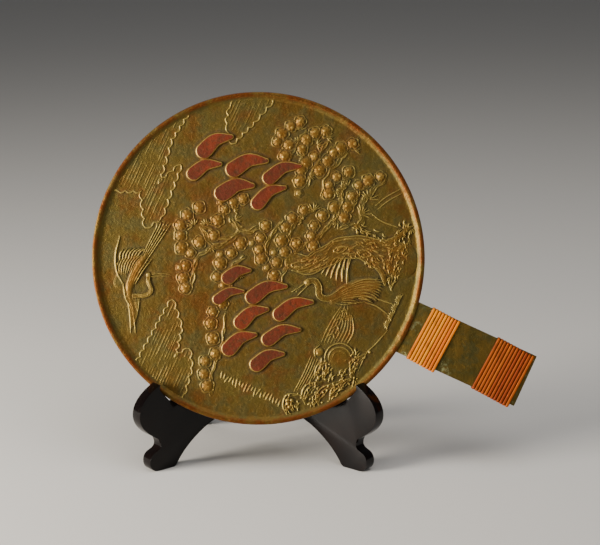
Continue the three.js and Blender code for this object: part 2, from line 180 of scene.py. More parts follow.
class Relief:
    """Heights above the ground, drawn one figure at a time; the higher one stands."""

    def __init__(self):
        self.axis = np.arange(-DRAWN, DRAWN + STEP / 2, STEP)
        self.z = np.full((len(self.axis), len(self.axis)), BURIED)

    def window(self, low, high):
        columns = slice(*np.searchsorted(self.axis, [low[0], high[0]]))
        rows = slice(*np.searchsorted(self.axis, [low[1], high[1]]))
        u, v = np.meshgrid(self.axis[columns], self.axis[rows])
        return (rows, columns), u, v

    def raise_to(self, where, height):
        self.z[where] = np.maximum(self.z[where], np.maximum(height, BURIED))

    def end_at(self, radius):
        """Buries what would stand on the rim."""
        u, v = np.meshgrid(self.axis, self.axis)
        self.z[np.hypot(u, v) > radius] = BURIED

    def near(self, points, reach, per):
        """For each height near a curve: how far off it is, and at what share of the curve."""
        path = smooth_path(points, per)
        where, u, v = self.window(path.min(0) - reach, path.max(0) + reach)
        off = np.full(u.shape, FAR_OFF)
        along = np.zeros(u.shape)
        travelled = 0.0
        for start, end in zip(path, path[1:]):
            length = float(np.hypot(*(end - start)))
            distance, share = off_stretch(u, v, start, end)
            closer = distance < off
            off = np.where(closer, distance, off)
            along = np.where(closer, travelled + share * length, along)
            travelled += length
        return where, off, along / travelled

    def about(self, centre, reach):
        """For each height near a centre: how far off it is, and in which direction."""
        where, u, v = self.window(np.array(centre) - reach, np.array(centre) + reach)
        du, dv = u - centre[0], v - centre[1]
        return where, np.hypot(du, dv), np.arctan2(dv, du)

    def stroke(self, points, width, height, ends=(0.3, 0.3), power=1.0, per=8):
        """A ridge along a curve, soft at its foot, its ends narrowed to a share of its width."""
        where, off, t = self.near(points, width, per)
        half = width * FOOT * narrowed(t, ends)
        lift = height * np.interp(t, [0, 0.2, 0.8, 1], [0.7, 1, 1, 0.7])
        self.raise_to(where, soft(off / half, power) * lift - np.maximum(off - half, 0))

    def outline(self, points, width, height, inset, ends=(0.3, 0.3)):
        """Two fine lines that follow a curve at either side."""
        where, off, t = self.near(points, inset + width, 8)
        self.raise_to(where, ridge(np.abs(off - inset * narrowed(t, ends)) / (width * FOOT), height))

    def plateau(self, points, breadth, height, slope, per=8):
        """A flat-topped band whose breadth at each share of its length is breadth(t)."""
        where, off, t = self.near(points, float(np.max(breadth(np.linspace(0, 1, 9)))), per)
        inside = breadth(t) / 2 - off
        ramp = np.clip(inside / slope, 0, 1)
        self.raise_to(where, np.where(inside < 0, inside, height * np.sin(ramp * math.pi / 2)))
        return where, inside

    def dome(self, centre, radius, height, needles=0):
        where, off, angle = self.about(centre, radius * 1.4)
        r = off / radius
        z = height * np.where(r < 1, 1 - r**DOME_FULLNESS, 0.0) - np.maximum(r - 1, 0) * 4
        if needles:
            z = z + NEEDLE_RELIEF * np.cos(needles * angle) * np.clip(r * 2 - 0.7, 0, 1) * (r < 1)
        self.raise_to(where, z)

    def ring(self, centre, radius, width, height, lobes, phase=0.0):
        """A raised line round a centre, which swells out in a few lobes."""
        where, off, angle = self.about(centre, radius * 1.1 + width)
        swell = 1 + 0.07 * np.cos(lobes * angle + phase)
        self.raise_to(where, ridge(np.abs(off - radius * swell) / (width * FOOT), height))

    def plate(self, corners, height, edge_width, edge_height):
        """A thin flat shape with a raised line round it."""
        outline = np.array(corners, float)
        where, u, v = self.window(outline.min(0) - 2, outline.max(0) + 2)
        inside = np.zeros(u.shape, bool)
        off = np.full(u.shape, FAR_OFF)
        for start, end in zip(outline, np.roll(outline, -1, axis=0)):
            off = np.minimum(off, off_stretch(u, v, start, end)[0])
            if start[1] != end[1]:
                slant = (end[0] - start[0]) / (end[1] - start[1])
                inside ^= ((start[1] > v) != (end[1] > v)) & (u < start[0] + slant * (v - start[1]))
        flat = np.where(inside, height, -off)
        self.raise_to(where, np.maximum(flat, edge_height * (1 - (off / (edge_width / 2)) ** 2)))

    def fan(self, start, end, angles, lengths, count, width, height, curl=0.0):
        """Quills side by side: their roots spread along a line and their angles turn."""
        for i in range(count):
            t = i / max(1, count - 1)
            root = np.array(start) * (1 - t) + np.array(end) * t
            angle = angles[0] * (1 - t) + angles[1] * t
            half = (lengths[0] * (1 - t) + lengths[1] * t) / 2
            middle = root + half * toward(angle)
            tip = middle + half * toward(angle + curl)
            self.stroke([root, middle, tip], width, height, ends=(0.55, 0.25), per=3)


# ---- the pine ----

CLUSTER_RADIUS = 4.1
CLUSTER_HEIGHT = 1.25
NEEDLES = 8
BOUGHS = [
    ([(-41, 38.5), (-33, 43.5), (-20, 46), (-7, 43.5)], 5),
    ([(-16, 53), (-6, 59.5), (4, 60.5), (15, 54.5)], 5),
    ([(2, 35.5), (16, 38.5), (28, 35), (34, 28)], 5),
    ([(-24, 21.5), (-14, 23), (-5, 19.5), (4, 15.5)], 4),
    ([(0, -3), (6, 2), (14.5, 5), (24, 4.3)], 4),
    ([(-6, -16), (3, -13), (12, -15), (21, -20)], 4),
    ([(19, -10), (28, -8.5), (37, -10), (45, -15)], 4),
    ([(25, -32), (33, -27.5), (45, -28), (56, -34.5)], 5),
    ([(-99, -5.5), (-92, 0.5), (-83, 3.5), (-75, -0.5)], 4),
    ([(-66, 5.5), (-57, 11), (-49, 13), (-41, 10)], 4),
]
FAR_BOUGHS = [
    ([(82.5, 22.5), (89, 21.7), (96, 18.3), (103, 13.3)], 4),
    ([(75.8, 14), (83.3, 14)], 2),
    ([(63.7, -3.7), (71, -1), (77, -3), (84, -6)], 4),
    ([(85, 4), (92.5, 4), (99, 0.8), (104, -5.5)], 4),
    ([(76, -14), (88, -16.7), (96, -20), (103, -27.5)], 5),
    ([(63, -26.7), (70, -25), (77.5, -27.5), (84, -33)], 4),
    ([(53, -44), (66, -43), (80, -45), (91, -56)], 6),
]
SMALL_CLUSTERS = [
    (-29.5, 48.5), (-9, 26), (26, 41.5), (8, 8.8), (8.5, -8.6), (-3.5, -8.5), (-28, 15), (55, -7),
]
BRANCHES = [
    ([(20, 9), (14, 16), (15, 24), (18, 31)], 4.5),
    ([(9, 19), (1, 25), (-5, 33), (3, 47)], 5.0),
    ([(-38, 35.5), (-28, 38), (-17, 40), (-8, 33), (-2, 27)], 3.4),
    ([(3, 47), (5, 41), (1, 33), (6, 24), (14, 20)], 3.4),
    ([(-31, 12), (-22, 16), (-10, 13), (-3, 9)], 5.0),
    ([(-30, 9), (-20, 10), (-12, 7)], 2.0),
    ([(6, -22), (16, -23), (24, -27), (34, -34), (48, -37)], 4.0),
    ([(22, -14), (34, -13.5), (42, -17), (50, -23)], 3.2),
    ([(5, -4), (14, -1.5), (26, -3), (33, -4)], 3.0),
    ([(-12, -22), (-3, -21), (6, -22)], 3.6),
    ([(-104, -10), (-88, -4), (-70, -3), (-46, 5)], 2.4),
]
FAR_BRANCHES = [
    ([(70, 8.5), (82, 9.5), (99, 7)], 3.0),
    ([(62, -10), (76, -10), (90, -9), (103, -12)], 3.6),
    ([(60, -24), (72, -21), (86, -23), (96, -27)], 4.2),
    ([(46, -38), (58, -38), (72, -34), (80, -36)], 3.6),
    ([(48, -54), (56, -57), (66, -52), (78, -54), (90, -60)], 4.6),
    ([(44, -44), (50, -50), (52, -58)], 4.0),
]
# Tufts of loose needles: where each spreads from, its heading and its reach.
SPRAYS = [
    (2, 52, 70, 6), (6, 44, 20, 5), (-6, 35, 230, 6), (18, 27, 300, 6), (24, 31, 330, 5),
    (-16, 8, 200, 5), (38, -18, 80, 5), (48, -22, 30, 6),
]
FAR_SPRAYS = [
    (54, -46, 100, 7), (62, -47, 60, 7), (70, -48, 90, 6), (78, -50, 40, 6), (87, -54, 20, 6),
    (48, -41, 130, 6), (72, -55, 10, 8), (60, -54, 340, 8), (84, -19, 80, 6), (92, -24, 60, 6),
    (100, -30, 330, 6), (68, -30, 250, 6), (77, -31, 280, 6), (74, -37, 80, 6), (66, -38, 110, 6),
    (88, 9, 60, 5), (97, 11, 30, 5), (92, -4, 300, 6), (100, -8, 320, 6), (80, 0, 90, 5),
    (70, -8, 270, 6), (80, -9, 260, 6),
]
TRUNK = [(8, -24), (12, -36), (24, -45), (35, -56), (39, -70), (40, -84), (41, -93)]
TRUNK_HALF_WIDTHS = [6.5, 7.0, 7.5, 8.0, 8.5, 11.0, 14.0]
ROOTS = [
    [(30, -80), (27, -86), (21, -91)], [(36, -84), (33, -90), (31, -95)],
    [(50, -80), (56, -85), (66, -90)], [(45, -84), (49, -90), (54, -93)],
]
KNOTS = [
    ([(6, -25), (9, -31), (15, -38)], 1.1, 2.6, (0.5, 0.7)),
    ([(28, -48), (33, -54)], 1.15, 2.2, (0.4, 0.4)),
    ([(34, -64), (36, -72)], 1.15, 2.4, (0.4, 0.4)),
]
BARK_SCALES = 60


def beside(points, offset, wobble=0.0, wave=11.0, phase=0.0):
    """A curve beside a curve: offset gives how far at each share of the length, and it may waver."""
    path = smooth_path(points, 10)
    run = np.gradient(path, axis=0)
    run /= np.hypot(run[:, 0], run[:, 1])[:, None]
    travelled = np.concatenate([[0], np.cumsum(np.hypot(*np.diff(path, axis=0).T))])
    shift = offset(travelled / travelled[-1]) + wobble * np.sin(travelled * math.tau / wave + phase)
    return path + np.column_stack([-run[:, 1], run[:, 0]]) * shift[:, None]


def grown(wood, rng, points, half, ridges, height):
    """Old wood: long wavering ridges of bark side by side, broken here and there."""
    for ridge_number in range(ridges):
        share = 2 * (ridge_number + 0.5) / ridges - 1
        wave, phase = rng.uniform(8, 14), rng.uniform(0, 6)
        path = beside(points, lambda t: share * half(t), 0.35 + 0.1 * ridges, wave, phase)
        start = 0
        while start < len(path) - 3:
            end = min(len(path), start + rng.randint(7, 18))
            wood.stroke(path[start:end], rng.uniform(1.3, 2.0), height * rng.uniform(0.65, 1.1), per=1)
            start = end - rng.randint(0, 2)


def clusters_on(tree, rng, rows):
    for along, clusters in rows:
        path = smooth_path(along, 12)
        for place in path[np.linspace(0, len(path) - 1, clusters).round().astype(int)]:
            place = place + scatter(rng, 0.7)
            radius = CLUSTER_RADIUS * rng.uniform(0.84, 1.12)
            height = CLUSTER_HEIGHT * rng.uniform(0.85, 1.1)
            tree.ring(place, radius + 0.4, 1.5, 0.55, rng.choice((4, 5, 6)), rng.uniform(0, 6))
            tree.dome(place, radius, height, NEEDLES)
            knob = place + radius * 0.35 * scatter(rng, 1)
            tree.dome(knob, rng.uniform(1.2, 2.2), height + 0.22)


def spray(tree, rng, place, heading, reach):
    """A tuft of pine needles that spreads from one point."""
    for needle in range(7):
        along = toward(heading + (needle - 3) * 24 + rng.uniform(-6, 6))
        tip = place + along * reach * rng.uniform(0.75, 1.05)
        tree.stroke([place + along * 0.8, tip], 1.05, 0.8, ends=(0.6, 0.3))


def boughs(seed, routes, rows, sprays, small_clusters=()):
    """Branches of old wood, with clusters of needles in rows and loose tufts between them."""
    rng = random.Random(seed)
    tree = Relief()
    for route, width in routes:
        tree.stroke(route, width, 0.32, ends=(0.7, 0.4), power=2.2)
        grown(tree, rng, route, lambda t: width * (0.5 - 0.22 * t), max(2, round(width / 1.5)), 0.75)
    clusters_on(tree, rng, rows)
    for place in small_clusters:
        tree.ring(place, 2.9, 1.2, 0.4, 5)
        tree.dome(place, 2.7, 1.0, 5)
    for u, v, heading, reach in sprays:
        spray(tree, rng, np.array([u, v]), heading, reach)
    return tree


def trunk():
    rng = random.Random(7)
    tree = Relief()
    shares = np.linspace(0, 1, len(TRUNK_HALF_WIDTHS))

    def half(t):
        return np.interp(t, shares, TRUNK_HALF_WIDTHS)

    tree.plateau(TRUNK, lambda t: 2 * half(t), 0.5, 1.6)
    grown(tree, rng, TRUNK, lambda t: 0.86 * half(t), 7, 0.95)
    for lane, height in ((-1.0, 1.0), (0.96, 1.05), (0.72, 0.95)):
        edge = beside(TRUNK, lambda t: lane * half(t), 0.5, 17, 1.0)
        tree.stroke(edge, 1.4, height, ends=(0.8, 0.7), per=1)
    for knot, height, inset, ends in KNOTS:
        tree.outline(knot, 1.2, height, inset, ends)
    for _ in range(BARK_SCALES):
        share, lane = rng.uniform(0.02, 0.95), rng.uniform(-0.8, 0.8)
        scale = beside(TRUNK, lambda t: lane * half(t))
        at = int(share * (len(scale) - 4))
        middle = scale[at] + scatter(rng, 1.2)
        tree.stroke([scale[at], middle, scale[at + 3]], 1.5, rng.uniform(0.9, 1.25), per=2)
    for root in ROOTS:
        tree.stroke(root, 3.2, 0.9, ends=(1, 0.3), power=1.7)
        tree.outline(root, 0.9, 1.0, 1.4, ends=(1, 0.4))
    return tree


# ---- the clouds ----

SCALLOP = 6.2
SCALLOP_DEPTH = 1.7
CLOUD_LINE_GAP = 2.1
CLOUDS = [
    [(80, 89, 0), (84, 110, 0), (33, 125, 0), (0, 119, 0), (2, 113, 1), (9, 97, 1), (-14, 83, 1),
     (-2, 76, 1), (38, 79, 1), (19, 88, 1), (52, 93, 1)],
    [(108, 38, 0), (122, 41, 0), (104, 66, 0), (90, 64, 1), (79, 61, 1), (67, 52, 1), (88, 44, 1)],
    [(-106, 48, 0), (-125, 48, 0), (-127, 8, 0), (-112, 8, 1), (-92, 11, 1), (-80, 18, 1), (-90, 25, 1),
     (-68, 30, 1), (-53, 44, 1)],
]


def scalloped(corners):
    """A closed outline that bulges outward in scallops along the sides marked 1."""
    outline = []
    for (u, v, free), following in zip(corners, corners[1:] + corners[:1]):
        side = np.array(following[:2], float) - (u, v)
        outward = np.array([side[1], -side[0]]) / np.hypot(*side)
        steps = 6 * (max(1, round(float(np.hypot(*side)) / SCALLOP)) if free else 1)
        for i in range(steps):
            bulge = SCALLOP_DEPTH * abs(math.sin(math.pi * i / 6)) * free
            outline.append(np.array([u, v]) + side * i / steps + outward * bulge)
    return outline


def clouds():
    rng = random.Random(3)
    sky = Relief()
    for cloud in CLOUDS:
        outline = scalloped(cloud)
        sky.plate(outline, height=0.14, edge_width=1.5, edge_height=0.6)
        low, high = np.min(outline, axis=0), np.max(outline, axis=0)
        for v in np.arange(low[1] + 1.5, high[1], CLOUD_LINE_GAP):
            for left, right in crossings(outline, v):
                start = left + rng.uniform(1, 5)
                while start < right - 4:
                    end = min(right - 1, start + rng.uniform(14, 34))
                    drift = rng.uniform(-0.5, 0.5)
                    line = [(start, v), ((start + end) / 2, v + drift), (end, v + drift / 2)]
                    sky.stroke(line, 0.95, rng.uniform(0.22, 0.5), per=3)
                    start = end + rng.uniform(1, 4)
    return sky


def crossings(outline, v):
    """The stretches of a level line that lie inside a closed outline."""
    marks = []
    for (u0, v0), (u1, v1) in zip(outline, outline[1:] + outline[:1]):
        if (v0 > v) != (v1 > v):
            marks.append(u0 + (u1 - u0) * (v - v0) / (v1 - v0))
    marks.sort()
    return list(zip(marks[::2], marks[1::2]))


# ---- the cranes: one flies with spread wings, and one stands and looks back ----

FLYING_NECK = [(-62, 70), (-58.5, 63), (-53.5, 60.5), (-48.5, 65), (-44, 67)]
STANDING_NECK = [(0, -39.5), (2.3, -44), (-0.5, -48.2), (-5.6, -51), (-6.2, -56), (-2.5, -61), (5, -66)]
CRANE_LINES = [
    ([(-27, 97.5), (-41, 94.5), (-51, 89), (-57.5, 81)], 2.0, 1.0, (0.3, 0.9)),
    ([(-64, 72.5), (-57, 76), (-44, 76.5), (-31, 74.5)], 6.6, 1.1, (0.6, 0.4), 1.5),
    ([(-57, 81), (-66, 75), (-73, 66), (-86, 58)], 1.7, 1.0, (0.8, 0.3)),
    (FLYING_NECK, 2.7, 1.0, (0.9, 0.8), 1.7),
    ([(-45, 66), (-41.5, 60), (-38.5, 52.5)], 0.9, 0.8, (0.9, 0.4)),
    ([(-43, 66), (-39.5, 59.5), (-37, 53)], 0.9, 0.8, (0.9, 0.4)),
    ([(-12.5, -31.5), (-8, -34.8), (-2, -38.2)], 1.1, 0.8, (0.2, 1)),
    ([(-14, -36.5), (-8, -38.6), (-2, -41)], 1.1, 0.8, (0.2, 1)),
    ([(-11, -34.5), (-6, -37.2)], 0.8, 0.5),
    (STANDING_NECK, 4.2, 0.75, (0.9, 1.3), 1.7),
    ([(-7, -61), (-4.5, -70), (0, -77), (4, -84)], 1.1, 0.95),
    ([(8.5, -66.5), (18, -62.3), (30, -60.3)], 1.5, 0.95, (0.5, 0.5)),
    ([(3.5, -84), (4.2, -92), (2.2, -102)], 1.4, 0.75, (0.9, 0.7)),
    ([(8.6, -82), (9.4, -92), (10.5, -103)], 1.4, 0.75, (0.9, 0.7)),
    ([(6.6, -78), (8.5, -86)], 1.4, 1.1),
]
# Feathers side by side: first and last root, angles, lengths, count, width, height and curl.
FEATHERS = [
    ((-54, 87), (-47, 79), (30, -6), (13, 20), 8, 1.6, 0.8, -26),
    ((-43, 90), (-36, 80), (24, -12), (9, 11), 7, 1.7, 0.95, -30),
    ((-58, 78), (-54, 73), (6, -6), (18, 22), 5, 1.3, 1.25, -6),
    ((-36, 77), (-38, 73), (-2, -9), (32, 35), 5, 1.2, 0.85),
    ((-13, 75.5), (-10, 70.5), (14, -24), (9, 6), 5, 1.0, 0.6),
    ((-59, 79), (-62, 66), (216, 198), (34, 20), 10, 1.4, 0.85, -8),
    ((-62, 76), (-69, 69), (236, 226), (10, 8), 5, 1.1, 1.0),
    ((9, -67), (1, -70), (-44, -62), (25, 19), 8, 1.5, 1.25, -22),
    ((2, -64), (-4, -68), (-34, -64), (12, 12), 7, 1.2, 1.2, -14),
    ((19, -82), (9, -84), (-64, -98), (9, 7), 8, 1.3, 1.0, -10),
    ((10, -74), (4, -78), (-50, -76), (13, 11), 5, 1.2, 1.4, -14),
    ((29, -59), (21, -48), (196, 150), (20, 13), 7, 2.2, 0.7, 14),
    ((28, -57), (23, -50), (188, 144), (11, 8), 5, 1.8, 0.9, 18),
]
CRANE_HEADS = [((-44, 67), 2.1, 1.2), ((-1, -39.5), 2.9, 1.25), ((-1.6, -39.2), 1.2, 1.4)]


def cranes():
    birds = Relief()
    for line in CRANE_LINES:
        birds.stroke(*line)
    for feathers in FEATHERS:
        birds.fan(*feathers)
    for head in CRANE_HEADS:
        birds.dome(*head)
    birds.outline(FLYING_NECK, 0.8, 1.15, 1.25, ends=(1, 0.8))
    birds.outline(STANDING_NECK, 1.0, 1.0, 2.0, ends=(0.8, 1.4))
    birds.plateau([(-57, 83), (-48, 85), (-38, 87)], lambda t: 11 - 6 * t, 0.3, 2.0)
    birds.plateau([(-60, 75), (-68, 68), (-78, 62)], lambda t: 9 - 6 * t, 0.3, 2.0)
    body = [(-4, -62), (5, -69), (13, -77), (18, -85)]
    birds.plateau(body, lambda t: 9 + 5 * np.sin(math.pi * t), 0.7, 2.5)
    return birds


# ---- the tortoise, the sea and the shore ----

WAVES = [
    ([(-95, -67), (-89, -60.5), (-80.5, -60), (-76.5, -69)], 2),
    ([(-82, -75), (-76, -69.5), (-68, -70), (-61.5, -79)], 4),
    ([(-79, -85), (-74, -79.5), (-66, -80.5), (-58, -88)], 3),
    ([(-72, -89.5), (-64, -87.5), (-57, -91), (-49, -98)], 3),
    ([(-51, -98), (-44, -93), (-37, -94), (-30, -99)], 3),
    ([(-61, -73), (-55, -71), (-50, -72), (-46, -76)], 2),
    ([(-60, -79), (-55, -77), (-50, -79)], 2),
]
SHORE_LINES = [
    [(-62, -101), (-54, -100), (-47, -98)],
    [(-44, -99.5), (-30, -99.5), (-20, -103), (-8, -106.5)],
    [(20, -96), (27, -94), (33, -96), (40, -92), (46, -95), (56, -92)],
    [(24, -88), (30, -85), (38, -88), (44, -85), (50, -88)],
    [(50, -84), (55, -82.5), (60, -84), (66, -88)],
    [(63.5, -60), (61.5, -70), (62.5, -84)],
    [(70, -61), (79, -65.5), (89, -73)],
    [(68, -63.5), (77, -68), (86.5, -75)],
]
# Stony ground: two corners, how many short ridges lie between them, and their heading.
PEBBLED = [
    ((-50, -98), (-30, -88), 34, 0), ((20, -98), (50, -84), 95, 0), ((44, -96), (68, -82), 70, 20),
    ((46, -78), (54, -52), 26, 80), ((29, -84), (36, -58), 40, 60), ((38, -76), (46, -60), 24, 80),
    ((-91, -72), (-81, -62), 22, 40), ((-76, -95), (-56, -90), 20, -20),
    ((-80, -82), (-62, -72), 26, 0), ((-60, -86), (-50, -74), 18, 0), ((-58, -96), (-48, -88), 14, -30),
]
HAIRS = 8
SPRAY_DROPS = [(-86.5, -63), (-84, -61.8), (-83, -64.5), (-88, -65)]


def tortoise(water):
    shell = np.array([-41, -83.5])
    water.dome(shell, 10.5, 0.75)
    for reach, height in ((10.8, 0.95), (8.0, 0.9), (5.2, 0.95)):
        water.stroke([shell + reach * toward(a) for a in range(130, -61, -19)], 1.5, height, per=3)
    water.dome((-43, -68.3), 3.5, 1.1)
    water.dome((-44.5, -67.6), 1.2, 1.3)
    water.stroke([(-47.5, -67), (-43, -64.5), (-38, -66.5)], 1.4, 0.9)
    water.stroke([(-46, -71.5), (-52, -73.5), (-59, -73)], 3.0, 0.85)
    water.stroke([(-47, -75), (-52, -78), (-58, -78)], 2.8, 0.85)


def trailing_tail(water):
    """Hair as long as the beast, laid in a leaf shape above a firmer line, with waves combed in."""
    upper = smooth_path([(-36, -66.5), (-20, -66.9), (-3, -69.5)], 15)
    lower = smooth_path([(-30, -84), (-18, -84), (-2, -73)], 15)
    for hair in range(HAIRS + 1):
        t = hair / HAIRS
        path = (upper * (1 - t) + lower * t)[: len(upper) - hair % 3 * 3]
        water.stroke(path, 1.3, 0.5 if t == 1 else 0.3, ends=(0.4, 0.3), per=1)
    for wave in range(4):
        foot = np.array([-31 + 6.5 * wave, -68.5 - 0.4 * wave])
        water.stroke([foot, foot + (4, -3), foot + (1, -6)], 1.5, 0.5)


def sea_and_shore():
    rng = random.Random(5)
    water = Relief()
    tortoise(water)
    trailing_tail(water)
    for wave, nests in WAVES:
        for nest in range(nests):
            arc = beside(wave, lambda t: -2.4 * nest * np.sin(math.pi * np.clip(t, 0.08, 0.92)))
            water.stroke(arc, 1.7 - 0.15 * nest, 0.85 - 0.12 * nest, ends=(0.4, 0.4), per=1)
        for foam in smooth_path(wave, 4):
            spot = foam + np.array([rng.uniform(-2, 2), rng.uniform(-4, 0.5)])
            water.dome(spot, rng.uniform(0.6, 1.2), rng.uniform(0.8, 1.2))
    for drop in SPRAY_DROPS:
        water.dome(drop, 1.5, 1.4)
    for row in range(7):
        start = -78 + 2.5 * row
        level = -63.5 - 1.75 * row
        middle = ((start - 47) / 2, level - 0.9)
        water.stroke([(start, level), middle, (-47, level - 0.4)], 0.95, 0.42, ends=(0.4, 0.3))
    for line in SHORE_LINES:
        water.stroke(line, 1.2, 0.65)
    for low, high, count, heading in PEBBLED:
        for _ in range(count):
            place = np.array([rng.uniform(low[0], high[0]), rng.uniform(low[1], high[1])])
            along = toward(heading + rng.uniform(-35, 35)) * rng.uniform(1.2, 2.6)
            across = np.array([-along[1], along[0]]) * rng.uniform(0.2, 0.6)
            water.stroke([place - along, place + across, place + along], 1.3, rng.uniform(0.5, 1.25))
    for tuft in range(4):
        root = (-4 + 6.5 * tuft, -105.5)
        water.fan(root, root, (170, 95), (4.5, 4), 4, 1.3, 0.8, curl=30)
        water.fan(root, root, (10, 85), (4.5, 4), 4, 1.3, 0.8, curl=-30)
    return water


# ---- rows of broad dabs under lacquer, and a column of small dashes; none is a letter ----

BOLD_HEIGHT = 1.5
BOLD_BEVEL = 1.3
DAB_BEND = 16
DAB_TAPER = 0.62
# Rows of dabs: v, the heads' places along u, and how the dabs lean, their length and their breadth.
BOLD_ROWS = [
    (68, (36, 54), -44, 21, 12.5),
    (43, (32, 51), -52, 22, 13),
    (17, (36, 56), -40, 22, 12.5),
    (14, (-39, -22), -50, 18, 10.5),
    (-8, (-68, -47, -27), -42, 22, 12),
    (-31, (-70, -50, -30), -50, 22, 12.5),
]
DASH_LEVELS = [-11 - 2.45 * dash for dash in range(20)]
DASH_MIDDLE = -88


def dab(written, rng, head, lean, length, breadth):
    """A brushed stroke, pressed in at its round head and bent away to a narrow tail."""
    lean = lean + rng.uniform(-7, 7)
    half = length * rng.uniform(0.95, 1.2) / 2
    breadth = breadth * rng.uniform(0.9, 1.1)
    middle = head + half * toward(lean + DAB_BEND)
    line = [head, middle, middle + half * toward(lean - DAB_BEND)]
    return written.plateau(line, lambda t: breadth * (1 - DAB_TAPER * t**2), BOLD_HEIGHT, BOLD_BEVEL, 10)


def bold_strokes():
    """The raised dabs, and for each height how far it lies inside a dab's edge."""
    written = Relief()
    depth = np.full(written.z.shape, -1.0)
    rng = random.Random(41)
    for v, heads, lean, length, breadth in BOLD_ROWS:
        for u in heads:
            where, inside = dab(written, rng, np.array([u, v]), lean, length, breadth)
            depth[where] = np.maximum(depth[where], inside)
    return written, depth


def small_marks():
    rng = random.Random(17)
    column = Relief()
    for v in DASH_LEVELS:
        half = rng.uniform(1.6, 3.4)
        middle = DASH_MIDDLE + rng.uniform(-0.8, 0.8)
        rise = rng.uniform(-0.7, 0.7)
        column.stroke([(middle - half, v - rise), (middle + half, v + rise)], 1.5, 0.45, ends=(0.5, 0.5))
    return column


# ---- the drawn heights as bronze ----

BLOCK = 6  # cells along one side of a block; a block with nothing raised in it isn't cast
ROOT = 0.9  # how deep a figure is rooted in the ground
# How strongly the relief shows in colour: the wear and painted highlight on ridge tops, and the grime and
# painted shade in the hollows.
WEAR_AND_SHADE_CONTRAST = 2.6


def blurred(field, radius):
    """A running mean over a square, three times over, which is close to a soft round blur."""
    reach = max(1, round(radius / STEP))
    shares = np.full(2 * reach + 1, 1 / (2 * reach + 1))

    def mean(line):
        return np.convolve(np.pad(line, reach, "edge"), shares, "valid")

    for axis in (0, 1) * 3:
        field = np.apply_along_axis(mean, axis, field)
    return field


def coordinates(mesh):
    flat = np.empty(len(mesh.vertices) * 3)
    mesh.vertices.foreach_get("co", flat)
    return flat.reshape(-1, 3)


def cells(plan):
    """The row and the column of the drawn height nearest to each place on the plan."""
    last = round(2 * DRAWN / STEP)
    places = np.clip(np.rint((plan[:, :2] + DRAWN) / STEP), 0, last).astype(int)
    return places[:, 1], places[:, 0]


def add_attribute(mesh, name, values):
    layer = mesh.attributes.new(name, "FLOAT", "POINT")
    layer.data.foreach_set("value", np.asarray(values, np.float32))


def mesh_of(bm, name):
    mesh = bpy.data.meshes.new(name)
    bm.to_mesh(mesh)
    return mesh


def add(name, data):
    thing = bpy.data.objects.new(name, data)
    bpy.context.scene.collection.objects.link(thing)
    return thing


def edges_of(faces):
    return list(dict.fromkeys(edge for face in faces for edge in face.edges))


def thicken(bm, faces, depth):
    """Gives some faces a copy at a depth, joined to them all round."""
    copied = bmesh.ops.extrude_face_region(bm, geom=faces, use_keep_orig=True)["geom"]
    verts = [part for part in copied if isinstance(part, bmesh.types.BMVert)]
    bmesh.ops.translate(bm, vec=(0, 0, depth), verts=verts)


def turn(bm, profile, steps):
    """Spins a profile, in radius and height, once round the upright axis."""
    dots = [bm.verts.new((radius, 0, height)) for radius, height in profile]
    lines = [bm.edges.new(pair) for pair in zip(dots, dots[1:])]
    around = {"axis": (0, 0, 1), "cent": (0, 0, 0), "angle": 2 * math.pi}
    bmesh.ops.spin(bm, geom=dots + lines, steps=steps, use_merge=True, **around)
    bmesh.ops.remove_doubles(bm, verts=bm.verts, dist=1e-4)
    bmesh.ops.recalc_face_normals(bm, faces=bm.faces)


def box(bm, size, centre):
    verts = bmesh.ops.create_cube(bm, size=1)["verts"]
    bmesh.ops.scale(bm, vec=size, verts=verts)
    bmesh.ops.translate(bm, vec=centre, verts=verts)
    return verts


def piece_from(bm, name, node):
    """A piece of the object, which rides with it and stands for its node."""
    piece = add(name, mesh_of(bm, name))
    bm.free()
    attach(piece, "root")
    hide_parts(node)
    return piece


class Ground:
    """All the drawn heights together, and for each place its wear with a painted highlight on the ridge
    tops, and its grime with painted shade in the hollows beside the figures.
    """

    def __init__(self, reliefs, lacquer):
        top = np.maximum(np.maximum.reduce([relief.z for relief in reliefs]), 0.0)
        # Ridge tops made lighter: wear of the bronze, and a painted highlight.
        self.wear_and_highlight = np.clip((top - blurred(top, 1.0)) * WEAR_AND_SHADE_CONTRAST, 0, 1)
        self.amber = np.clip(blurred(top, 0.7) * 1.6 - 0.7, 0, 1)
        # Hollows beside the figures made darker: grime, and painted shade.
        self.grime_and_shade = np.clip((blurred(top, 1.4) - top) * WEAR_AND_SHADE_CONTRAST, 0, 1)
        self.lacquer = lacquer

    def mark(self, mesh, plan):
        """Gives a mesh whose places on the plan are known its wear and painted highlight, its grime and
        painted shade, and its lacquer.
        """
        here = cells(plan)
        for name in ("wear_and_highlight", "amber", "grime_and_shade", "lacquer"):
            add_attribute(mesh, name, getattr(self, name)[here])


